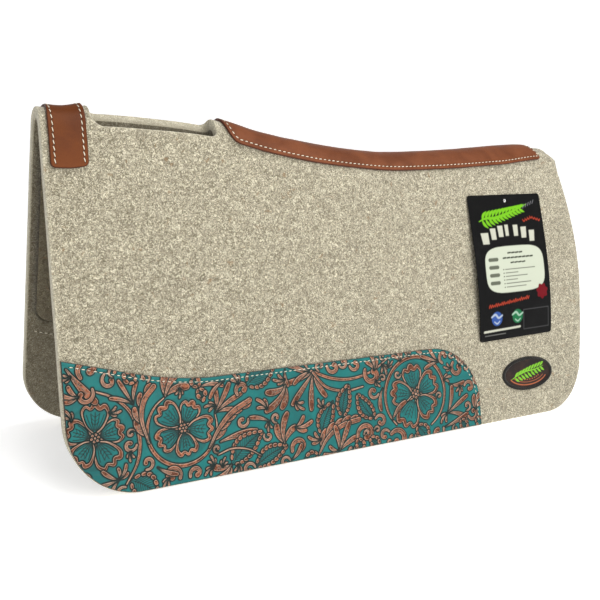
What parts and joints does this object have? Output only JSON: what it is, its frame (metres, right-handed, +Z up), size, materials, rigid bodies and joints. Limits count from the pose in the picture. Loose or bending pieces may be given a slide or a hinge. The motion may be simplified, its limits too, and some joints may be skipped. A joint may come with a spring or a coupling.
{
  "type": "saddle pad",
  "caption": "Contoured western saddle pad of thick wool felt, with a wither slot, a leather spine strip, a leather bridge strap and tooled wear leathers.",
  "frame": {"origin": "under the middle of the pad's length and width, on the surface that its two bottom edges stand on", "axes": "+X along the ridge from the front (wither) edge to the rear edge, -Y the near (left) side, +Z up"},
  "size_m": [0.787, 0.25, 0.4055],
  "materials": {
    "felt": "pressed wool felt, heathered greige",
    "underlay": "pressed wool felt",
    "spine_leather": "smooth reddish brown leather",
    "strap_leather": "smooth saddle brown leather",
    "tooled_leather": "turquoise leather with raised copper tooling",
    "patch_leather": null,
    "thread": "heavy waxed cream thread",
    "border_thread": "black overcast thread",
    "card": "black printed card",
    "nylon": "clear nylon"
  },
  "bodies": {
    "spine": {"spine_leather": "spine_leather", "bridge_strap": "strap_leather", "spine_leather_stitches": "thread", "bridge_strap_stitches": "thread", "ridge_seam_stitches": "thread", "bridge_seam_stitches": "thread"},
    "near_side": {"felt_half_near": "felt", "underlay_near": "underlay", "wear_leather_near": "tooled_leather", "wear_stitches_near": "thread", "underside_stitches_near": "thread", "oval_patch": "patch_leather", "patch_border": "border_thread", "tag_pin": "nylon"},
    "far_side": {"felt_half_far": "felt", "underlay_far": "underlay", "wear_leather_far": "tooled_leather", "wear_stitches_far": "thread", "underside_stitches_far": "thread"},
    "tag": {"hang_tag": "card"}
  },
  "joints": [
    {"name": "near_side_flex", "type": "hinge", "parent": "spine", "child": "near_side", "pos_m": [-0.3935, -0.018, 0.399], "axis": [-0.9995, 0, 0.0317], "range_deg": [-6, 40], "stiffness_Nm_per_rad": 4, "deforming": ["spine_leather", "bridge_strap", "spine_leather_stitches", "bridge_strap_stitches", "ridge_seam_stitches", "bridge_seam_stitches"]},
    {"name": "far_side_flex", "type": "hinge", "parent": "spine", "child": "far_side", "pos_m": [-0.3935, 0.018, 0.399], "axis": [0.9995, 0, -0.0317], "range_deg": [-6, 40], "stiffness_Nm_per_rad": 4, "deforming": ["spine_leather", "bridge_strap", "spine_leather_stitches", "bridge_strap_stitches", "ridge_seam_stitches", "bridge_seam_stitches"]},
    {"name": "tag_swivel", "type": "hinge", "parent": "near_side", "child": "tag", "pos_m": [0.2465, -0.04485, 0.30167], "axis": [0, -0.9677, 0.2521], "range_deg": [-30, 30]}
  ]
}
